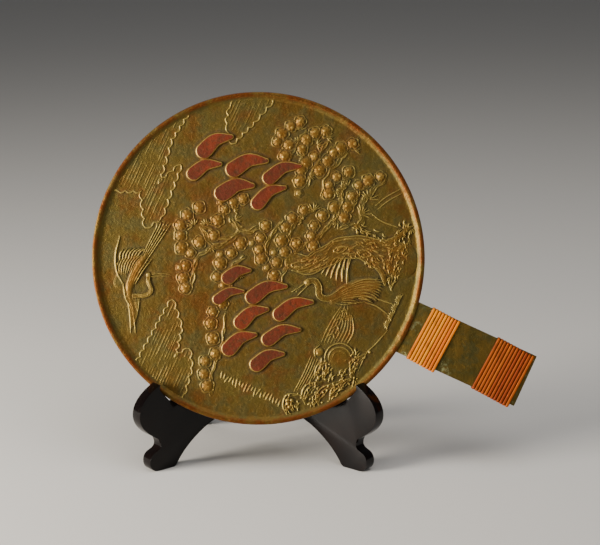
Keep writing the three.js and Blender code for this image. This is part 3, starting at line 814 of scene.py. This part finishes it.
def cast(relief, ground, name):
    """A relief as a closed bronze piece whose edges lie under the ground."""
    blocks = (len(relief.axis) - 1) // BLOCK
    side = BLOCK * STEP
    tall = relief.z > BURIED + 0.02
    live = np.zeros((blocks, blocks), bool)
    span = (blocks - 1) * BLOCK + 1
    for row in range(BLOCK + 1):
        for column in range(BLOCK + 1):
            live |= tall[row : row + span : BLOCK, column : column + span : BLOCK]
    live = unpinched(live)
    bm = bmesh.new()
    half = blocks * side / 2
    centred = Matrix.Translation((half - DRAWN, half - DRAWN, FIELD))
    bmesh.ops.create_grid(bm, x_segments=blocks, y_segments=blocks, size=half, matrix=centred)

    def empty(face):
        centre = face.calc_center_median()
        return not live[int((centre.y + DRAWN) / side), int((centre.x + DRAWN) / side)]

    bmesh.ops.delete(bm, geom=[face for face in bm.faces if empty(face)], context="FACES")
    top = list(bm.faces)
    thicken(bm, top, -ROOT)
    bmesh.ops.subdivide_edges(bm, edges=edges_of(top), cuts=BLOCK - 1, use_grid_fill=True)
    bmesh.ops.recalc_face_normals(bm, faces=bm.faces)
    piece = piece_from(bm, name, "mirror")
    plan = coordinates(piece.data)
    surface = plan[:, 2] > FIELD - ROOT / 2
    plan[surface, 2] = FIELD + relief.z[cells(plan)][surface]
    ground.mark(piece.data, plan)
    move_to_room(piece.data, plan)
    piece.data.shade_smooth()
    return piece


def unpinched(live):
    """Fills the cells between two live cells that meet at a corner alone."""
    while True:
        falling = live[:-1, :-1] & live[1:, 1:] & ~live[:-1, 1:] & ~live[1:, :-1]
        rising = live[:-1, 1:] & live[1:, :-1] & ~live[:-1, :-1] & ~live[1:, 1:]
        if not (falling.any() or rising.any()):
            return live
        live = live.copy()
        live[:-1, 1:] |= falling
        live[:-1, :-1] |= rising


# ---- the casting that carries them ----

SPOKES = 480
RING_GAP = 1.25


def disc_and_handle(ground):
    bm = bmesh.new()
    handle = bm.verts.layers.float.new("handle")
    rim = [
        (DISC_RADIUS - EDGE_CHAMFER, 0.0), (DISC_RADIUS - 0.18, 0.18), (DISC_RADIUS, EDGE_CHAMFER),
        (DISC_RADIUS, RIM_THICKNESS - 0.8), (DISC_RADIUS - 0.25, RIM_THICKNESS - 0.25),
        (DISC_RADIUS - 0.8, RIM_THICKNESS), (DISC_RADIUS - 2.0, RIM_THICKNESS),
        (SLOPE_FOOT + 3.3, RIM_THICKNESS - 0.15), (SLOPE_FOOT + 2.7, RIM_THICKNESS - 0.55),
        (SLOPE_FOOT + 1.6, FIELD + 0.75), (SLOPE_FOOT + 0.8, FIELD + 0.2), (SLOPE_FOOT, FIELD),
    ]
    rings = round(SLOPE_FOOT / RING_GAP)
    field = [(SLOPE_FOOT * (1 - i / rings), FIELD) for i in range(1, rings + 1)]
    turn(bm, [(0.0, 0.0), *rim, *field], SPOKES)
    length = HANDLE_REACH - HANDLE_ROOT
    centre = (0, -HANDLE_ROOT - length / 2, HANDLE_THICKNESS / 2)
    bar = box(bm, (HANDLE_WIDTH, length, HANDLE_THICKNESS), centre)
    edges = list(dict.fromkeys(edge for vert in bar for edge in vert.link_edges))
    rounded = bmesh.ops.bevel(
        bm, geom=edges, offset=0.6, segments=3, profile=0.5, affect="EDGES", material=-1
    )
    for vert in rounded["verts"]:
        vert[handle] = 1.0
    piece = piece_from(bm, "mirror_casting", "mirror")
    mesh = piece.data
    plan = coordinates(mesh)
    ground.mark(mesh, plan)
    radius = np.hypot(plan[:, 0], plan[:, 1])
    on_bar = np.array([item.value for item in mesh.attributes["handle"].data]) > 0.5
    add_attribute(mesh, "rim", np.clip((radius - SLOPE_FOOT - 2.2) / 0.8, 0, 1) * ~on_bar)
    add_attribute(mesh, "back", (plan[:, 2] < 1.0) * 1.0)
    move_to_room(mesh, plan)
    mesh.shade_smooth()
    mesh.set_sharp_from_angle(angle=35 * DEGREE)
    return piece


# ---- the cane bindings ----

AROUND = 120  # points around a sleeve
PER_STRAND = 12
STRAND_FULLNESS = 3.2  # 2 for a round strand, and more for a flat one


def binding(name, node, sizes):
    """Cane wound side by side around the handle, each strand a rounded ridge."""
    length = STRAND_PITCH * sizes["strands"]
    rows = PER_STRAND * sizes["strands"]
    bm = bmesh.new()
    outside = [(1, row / rows) for row in range(rows + 1)]
    turn(bm, [*outside, (0.5, 1), (0.5, 0), (1, 0)], AROUND)
    piece = piece_from(bm, name, node)
    mesh = piece.data
    tube = coordinates(mesh)
    outer = np.hypot(tube[:, 0], tube[:, 1]) > 0.75
    angle = np.arctan2(tube[:, 1], tube[:, 0])
    strand = tube[:, 2] * sizes["strands"]
    crown = 1 - np.abs(2 * (strand % 1) - 1) ** STRAND_FULLNESS
    crown[(tube[:, 2] < 1e-4) | (tube[:, 2] > 1 - 1e-4)] = 0
    lift = np.where(outer, 0.4 + (STRAND_RISE - 0.45) * crown, 0.02)
    corner = np.where(outer, 1.5, 0.6)
    u, w = rounded_section(angle, HANDLE_WIDTH / 2 + lift, HANDLE_THICKNESS / 2 + lift, corner)
    v = -length * tube[:, 2]
    tilted = np.column_stack([
        u * math.cos(STRAND_SLANT) + v * math.sin(STRAND_SLANT),
        -u * math.sin(STRAND_SLANT) + v * math.cos(STRAND_SLANT) - sizes["top"],
        w + HANDLE_THICKNESS / 2,
    ])
    add_attribute(mesh, "strand", strand)
    add_attribute(mesh, "across", np.where(outer, u, 0) / HANDLE_WIDTH)
    add_attribute(mesh, "crown", crown)
    move_to_room(mesh, tilted)
    mesh.shade_smooth()
    mesh.set_sharp_from_angle(angle=60 * DEGREE)
    return piece


def rounded_section(angle, half_width, half_thick, corner):
    """A point of a round-cornered oblong for each angle, evenly spread round its outline."""
    straight_u = half_width - corner
    straight_w = half_thick - corner
    arc = corner * math.pi / 2
    quarters = angle / (math.pi / 2) % 4
    turn = np.floor(quarters).astype(int) % 4
    rest = (quarters - np.floor(quarters)) * (straight_u + straight_w + arc)
    odd = turn % 2 == 1
    first = np.where(odd, straight_u, straight_w)
    bend = np.clip((rest - first) / corner, 0, math.pi / 2)
    back = np.clip(rest - first - arc, 0, None)
    along_a = np.where(odd, half_thick, half_width) - corner * (1 - np.cos(bend)) - back
    along_b = np.minimum(rest, first) + corner * np.sin(bend)
    u = np.array([1, -1, -1, 1])[turn] * np.where(odd, along_b, along_a)
    w = np.array([1, 1, -1, -1])[turn] * np.where(odd, along_a, along_b)
    return u, w


# ---- the stand ----

BOARD_OUTLINE = [
    (84, 0), (98, 0), [(103, 0), (105.5, 4), (105.3, 8)], [(105, 13), (102, 14), (98, 15.5)],
    [(95, 17.2), (94.7, 20), (97, 24)], [(107, 29.5), (113.6, 36), (113.4, 44)],
    [(113.1, 52), (107, 59), (95, 64.4)], (95.5, 60.7), (92, 56.2), (87.8, 51.8), (80.7, 47.4), (47, 134),
    [(44, 146), (34, 152), (28, 146)], [(23, 139), (33, 136), (34, 128)], [(40, 104), (52, 84), (40, 72)],
    [(30, 61), (14, 60), (0, 60)], [(-30, 60), (-52, 40), (-60, 24)],
    [(-64, 18), (-68.7, 13.7), (-73.6, 11)], [(-76.5, 7.7), (-77.1, 4), (-75.2, 0)], (-58, 0),
    [(-46, 12), (-34, 33), (0, 33)], [(24, 33), (42, 32), (57, 23.7)],
    [(68.3, 17.2), (76.7, 9.8), (82, 1.5)],
]


def board_curve():
    """The closed profile: a pair is a corner, and a triple bends on to its last point."""
    curve = bpy.data.curves.new("board_profile", "CURVE")
    curve.dimensions = "2D"
    curve.fill_mode = "BOTH"
    curve.resolution_u = 14
    spline = curve.splines.new("BEZIER")
    spline.bezier_points.add(len(BOARD_OUTLINE) - 1)
    spline.use_cyclic_u = True
    knots = [place if isinstance(place, tuple) else place[2] for place in BOARD_OUTLINE]
    for i, (point, place) in enumerate(zip(spline.bezier_points, BOARD_OUTLINE)):
        following = BOARD_OUTLINE[(i + 1) % len(BOARD_OUTLINE)]
        before = knots[i] if isinstance(place, tuple) else place[1]
        after = knots[i] if isinstance(following, tuple) else following[0]
        point.handle_left_type = point.handle_right_type = "FREE"
        point.co = (*knots[i], 0)
        point.handle_left = (*before, 0)
        point.handle_right = (*after, 0)
    return curve


def board(name, node, side):
    drawing = bpy.data.objects.new("board_profile", board_curve())
    flat = bpy.data.meshes.new_from_object(drawing)
    bm = bmesh.new()
    bm.from_mesh(flat)
    bpy.data.objects.remove(drawing)
    bmesh.ops.remove_doubles(bm, verts=bm.verts, dist=1e-3)
    bmesh.ops.dissolve_faces(bm, faces=bm.faces)
    bmesh.ops.translate(bm, vec=(0, 0, -BOARD_THICKNESS / 2), verts=bm.verts)
    thicken(bm, list(bm.faces), BOARD_THICKNESS)
    bmesh.ops.recalc_face_normals(bm, faces=bm.faces)
    caps = [face for face in bm.faces if abs(face.normal.z) > 0.9]
    bmesh.ops.bevel(
        bm, geom=edges_of(caps), offset=BOARD_EDGE_ROUND, segments=4, profile=0.5, affect="EDGES",
        material=-1, clamp_overlap=True,
    )
    cut_lap(bm, side)
    for face in bm.faces:
        face.smooth = abs(face.normal.z) < 0.99
    bmesh.ops.transform(bm, matrix=board_to_room(side), verts=bm.verts)
    piece = piece_from(bm, name, node)
    piece.data.set_sharp_from_angle(angle=32 * DEGREE)
    return piece


def cut_lap(bm, side):
    """Takes out the half of the board that the other one fills where they cross."""
    cutter = bmesh.new()
    height = 60
    middle = LAP_HEIGHT + side * (LAP_GAP - height / 2)
    box(cutter, (2 * LAP_HALF_WIDTH, height, 3 * BOARD_THICKNESS), (0, middle, 0))
    pieces = [add("lap", mesh_of(shape, "lap")) for shape in (bm, cutter)]
    cutter.free()
    halved = pieces[0].modifiers.new("lap", "BOOLEAN")
    halved.operation = "DIFFERENCE"
    halved.solver = "EXACT"
    halved.object = pieces[1]
    graph = bpy.context.evaluated_depsgraph_get()
    cut = bpy.data.meshes.new_from_object(pieces[0].evaluated_get(graph))
    bm.clear()
    bm.from_mesh(cut)
    for scrap in pieces:
        bpy.data.objects.remove(scrap)


# ---- finishes ----


def paint(*levels):
    """A colour as seen, 0 to 255, as the shader's own linear colour."""
    dark = 10  # up to here the curve of a screen's levels is a straight line
    bright = [((level / 255 + 0.055) / 1.055) ** 2.4 for level in levels]
    return (*[b if level > dark else level / 255 / 12.92 for b, level in zip(bright, levels)], 1.0)


class Value:
    """The output of a node; sums on it add Math nodes."""

    def __init__(self, finish, socket):
        self.finish = finish
        self.socket = socket

    def math(self, operation, *terms):
        return self.finish.node("Math", {"operation": operation}, dict(enumerate(terms)))

    def __add__(self, other):
        return self.math("ADD", self, other)

    def __sub__(self, other):
        return self.math("SUBTRACT", self, other)

    def __rsub__(self, other):
        return self.math("SUBTRACT", other, self)

    def __mul__(self, other):
        return self.math("MULTIPLY", self, other)

    __radd__ = __add__
    __rmul__ = __mul__

    def step(self, low, high):
        """0 below low, 1 above high, and smooth between them."""
        sockets = {"Value": self, "From Min": low, "From Max": high}
        return self.finish.node("MapRange", {"interpolation_type": "SMOOTHSTEP"}, sockets)


class Finish:
    """One material, built up from its nodes."""

    def __init__(self, name):
        self.material = bpy.data.materials.new(name)
        self.material.use_nodes = True
        self.nodes = self.material.node_tree.nodes
        self.links = self.material.node_tree.links
        self.nodes.clear()
        self.place = self.node("TexCoord", {}, {}, "Object")

    def node(self, kind, settings, sockets, output=0):
        node = self.nodes.new("ShaderNode" + kind)
        for name, value in settings.items():
            setattr(node, name, value)
        for name, value in sockets.items():
            slot = node.inputs[name]
            if isinstance(value, Value):
                self.links.new(value.socket, slot)
            else:
                slot.default_value = value
        return Value(self, node.outputs[output])

    def noise(self, size, detail=4.0, roughness=0.55, place=None):
        """Cloudy noise whose patches are about as wide as size, in millimetres."""
        sockets = {"Vector": place or self.place, "Scale": 1 / (size * MM), "Detail": detail}
        return self.node("TexNoise", {}, {**sockets, "Roughness": roughness}, "Fac")

    def attribute(self, name):
        return self.node("Attribute", {"attribute_name": name}, {}, "Fac")

    def mix(self, share, first, second):
        return self.node("Mix", {"data_type": "RGBA"}, {0: share, 6: first, 7: second}, 2)

    def layered(self, colour, *layers):
        """A colour with others laid over it, each after the share that it covers."""
        for share, *levels in layers:
            colour = self.mix(share, colour, paint(*levels))
        return colour

    def bump(self, height, depth):
        """Relief of the surface by a height from 0 to 1, as deep as depth, in millimetres."""
        return self.node("Bump", {}, {"Height": height, "Distance": depth * MM, "Strength": 1.0})

    def surface(self, **sockets):
        named = {name.replace("_", " "): value for name, value in sockets.items()}
        shader = self.node("BsdfPrincipled", {}, named)
        output = self.nodes.new("ShaderNodeOutputMaterial")
        self.links.new(shader.socket, output.inputs["Surface"])
        return self.material


def bronze_finish():
    f = Finish("bronze")
    names = ("wear_and_highlight", "amber", "grime_and_shade", "lacquer", "handle", "rim", "back")
    wear_and_highlight, amber, grime_and_shade, lacquered, handle, rim, back = map(f.attribute, names)
    broad = f.noise(46, 3, 0.6)
    mottle = f.noise(11, 5, 0.62)
    fine = f.noise(1.6, 4, 0.65)
    speck = f.noise(0.55, 2, 0.5)
    ground = f.layered(
        f.mix(broad.step(0.4, 0.62), paint(96, 80, 34), paint(98, 72, 28)),
        (mottle.step(0.42, 0.66) * 0.8, 80, 73, 38),
        (f.noise(19, 4, 0.6).step(0.5, 0.68) * 0.5, 102, 56, 20),
        (fine.step(0.5, 0.75) * 0.35, 130, 106, 62),
        # Dark brown in the hollows beside the figures: grime, and painted shade.
        (grime_and_shade.step(0.05, 0.8) * 0.55, 52, 40, 18),
        (amber * (0.35 + mottle * 0.6), 130, 86, 28),
        # Pale brass on the ridge tops: wear, and a painted highlight.
        ((wear_and_highlight + fine * 0.3 - 0.15).step(0.2, 1.0) * 0.42, 188, 164, 86),
        (rim * mottle.step(0.3, 0.6) * 0.9, 96, 46, 12),
    )
    verdigris = f.noise(7, 6, 0.75).step(0.54, 0.6) * broad.step(0.42, 0.58)
    olive = f.layered(
        f.mix(mottle.step(0.38, 0.62), paint(82, 70, 30), paint(100, 78, 32)),
        (f.noise(9, 3, 0.6).step(0.52, 0.66) * 0.5, 70, 72, 42),
        (verdigris * 0.8, 140, 146, 104),
    )
    tarnish = f.layered(
        f.mix(f.noise(30, 5, 0.65).step(0.42, 0.62), paint(128, 104, 60), paint(92, 70, 34)),
        (f.noise(5, 6, 0.7).step(0.54, 0.68) * 0.7, 62, 52, 34),
    )
    red = f.layered(
        f.mix(broad.step(0.4, 0.62), paint(104, 34, 0), paint(84, 28, 0)),
        (f.noise(4.5, 5, 0.7).step(0.46, 0.66) * 0.8, 62, 34, 4),
        (fine.step(0.55, 0.8) * 0.3, 124, 44, 2),
    )
    edge = lacquered + (f.noise(3.4, 5, 0.7) - 0.5) * 0.8
    kept = edge.step(0.4, 0.6) * (1 - (speck - 0.62).step(0, 0.1))
    colour = f.mix(kept, f.mix(back, f.mix(handle, ground, olive), tarnish), red)
    pitted = f.noise(3.4, 3, 0.5).step(0.36, 0.6)
    height = fine * 0.5 + speck * 0.3 + mottle * 1.2 + pitted * 0.25
    metallic = 0.9 - kept * 0.35 - grime_and_shade * 0.2
    rough = 0.42 + mottle * 0.16 + grime_and_shade * 0.2 - back * 0.12 + kept * 0.1
    return f.surface(Base_Color=colour, Metallic=metallic, Roughness=rough, Normal=f.bump(height, 0.36))


def cane_finish(name, pale, deep, groove_shade_and_dirt):
    f = Finish(name)
    strand, across, crown = map(f.attribute, ("strand", "across", "crown"))
    fibre_place = f.node("CombineXYZ", {}, {0: across * 0.02, 1: strand * 0.02, 2: 0.0})
    fibre = f.noise(1.2, 4, 0.6, place=fibre_place)
    index = f.node("Math", {"operation": "FLOOR"}, {0: strand})
    tone_place = f.node("CombineXYZ", {}, {0: index * 0.37, 1: across * 0.012, 2: 0.0})
    tone = f.noise(140, 2, 0.5, place=tone_place)
    colour = f.mix(tone.step(0.38, 0.62), pale, deep)
    colour = f.mix(fibre.step(0.42, 0.7) * 0.55, colour, deep)
    # Painted shade in the grooves between strands, darker away from each strand's crown.
    colour = f.mix(1 - crown.step(0.15, 0.8), colour, groove_shade_and_dirt)
    dirt = f.noise(12, 4, 0.6).step(0.52, 0.72)
    # Dirt patches at random, in the same dark colour as the painted groove shade.
    colour = f.mix(dirt * 0.4, colour, groove_shade_and_dirt)
    normal = f.bump(f.noise(0.5, 3, 0.6), 0.08)
    return f.surface(Base_Color=colour, Roughness=0.5 + fibre * 0.2, Normal=normal, Specular_IOR_Level=0.15)


def lacquer_finish():
    f = Finish("black_lacquer")
    cloud = f.noise(30, 3)
    brushing = f.noise(2.5, 3, 0.5)
    colour = f.mix(cloud.step(0.35, 0.7), paint(5, 3, 3), paint(14, 7, 5))
    colour = f.mix(f.noise(0.9, 2, 0.5).step(0.72, 0.76) * 0.5, colour, paint(60, 44, 34))
    rough = 0.1 + cloud * 0.08 + brushing * 0.03
    normal = f.bump(brushing, 0.03)
    return f.surface(Base_Color=colour, Roughness=rough, Normal=normal, Specular_IOR_Level=0.18)


# ---- the room ----


def floor():
    bm = bmesh.new()
    bmesh.ops.create_grid(bm, x_segments=1, y_segments=1, size=6)
    piece = add("floor", mesh_of(bm, "floor"))
    bm.free()
    plain = Finish("floor").surface(Base_Color=paint(214, 210, 204), Roughness=0.6)
    piece.data.materials.append(plain)


def aimed(name, data, place, aim):
    """A lamp or a camera at its place, turned to its aim."""
    thing = add(name, data)
    thing.location = place
    thing.rotation_euler = (Vector(aim) - Vector(place)).to_track_quat("-Z", "Y").to_euler()
    return thing


def lamp(name, place, aim, size, energy, colour=(1, 1, 1)):
    light = bpy.data.lights.new(name, "AREA")
    light.size = size
    light.energy = energy
    light.color = colour
    aimed(name, light, place, aim)


CAMERA_DISTANCE = 1.2
CAMERA_AIM = (30.0, -10.2)  # the aim point from the disc centre: to the right, and up the disc


def camera():
    centre = PLAN @ Vector((0, 0, RIM_THICKNESS))
    up_disc = Vector((0, math.sin(LEAN), math.cos(LEAN)))
    outward = Vector((0, -math.cos(LEAN), math.sin(LEAN)))
    aim = centre + Vector((CAMERA_AIM[0] * MM, 0, 0)) + up_disc * CAMERA_AIM[1] * MM
    view = bpy.data.cameras.new("camera")
    view.lens = 100
    view.sensor_width = 36
    bpy.context.scene.camera = aimed("camera", view, aim + outward * CAMERA_DISTANCE, aim)


def room():
    floor()
    middle = PLAN @ Vector((0, 0, 0))
    beside_it = middle + Vector((-1.15, -0.5, 0.12))
    lamp("window", beside_it, middle, size=0.5, energy=56, colour=(1, 0.95, 0.86))
    lamp("ceiling", (0.2, -0.5, 1.7), (0.1, -0.1, 0), size=1.6, energy=20)
    lamp("fill", (1.4, -1.0, 0.7), middle, size=1.2, energy=3)
    world = bpy.data.worlds.new("room")
    world.use_nodes = True
    sky = world.node_tree.nodes["Background"]
    sky.inputs["Color"].default_value = (0.9, 0.92, 0.95, 1)
    sky.inputs["Strength"].default_value = 0.12
    bpy.context.scene.world = world


# ---- the whole ----

RIM_OVERLAP = 1.2  # how far a figure may run up the rim's slope
LACQUER_INSET = 0.9
LACQUER_EDGE = 0.6

camera()
written, stroke_depth = bold_strokes()
reliefs = {
    "pine_trunk_relief": trunk(),
    "near_bough_relief": boughs(11, BRANCHES, BOUGHS, SPRAYS, SMALL_CLUSTERS),
    "far_bough_relief": boughs(23, FAR_BRANCHES, FAR_BOUGHS, FAR_SPRAYS),
    "cloud_relief": clouds(),
    "crane_relief": cranes(),
    "tortoise_and_shore_relief": sea_and_shore(),
    "bold_stroke_relief": written,
    "small_mark_relief": small_marks(),
}
for relief in reliefs.values():
    relief.end_at(SLOPE_FOOT + RIM_OVERLAP)
lacquer = np.clip((stroke_depth - LACQUER_INSET) / LACQUER_EDGE, 0, 1)
ground = Ground(list(reliefs.values()), lacquer)
bronzes = [disc_and_handle(ground)]
bronzes += [cast(relief, ground, name) for name, relief in reliefs.items()]
upper = binding("upper_cane_binding", "cane_binding_upper", UPPER_BINDING)
lower = binding("lower_cane_binding", "cane_binding_lower", LOWER_BINDING)
boards = [board("left_board", "stand_board_left", -1), board("right_board", "stand_board_right", 1)]

def finish(pieces, material):
    for piece in pieces:
        piece.data.materials.append(material)


finish(bronzes, bronze_finish())
finish([upper], cane_finish("pale_cane", paint(202, 126, 0), paint(184, 88, 0), paint(66, 22, 0)))
finish([lower], cane_finish("red_cane", paint(152, 74, 0), paint(120, 44, 0), paint(44, 12, 0)))
finish(boards, lacquer_finish())

room()
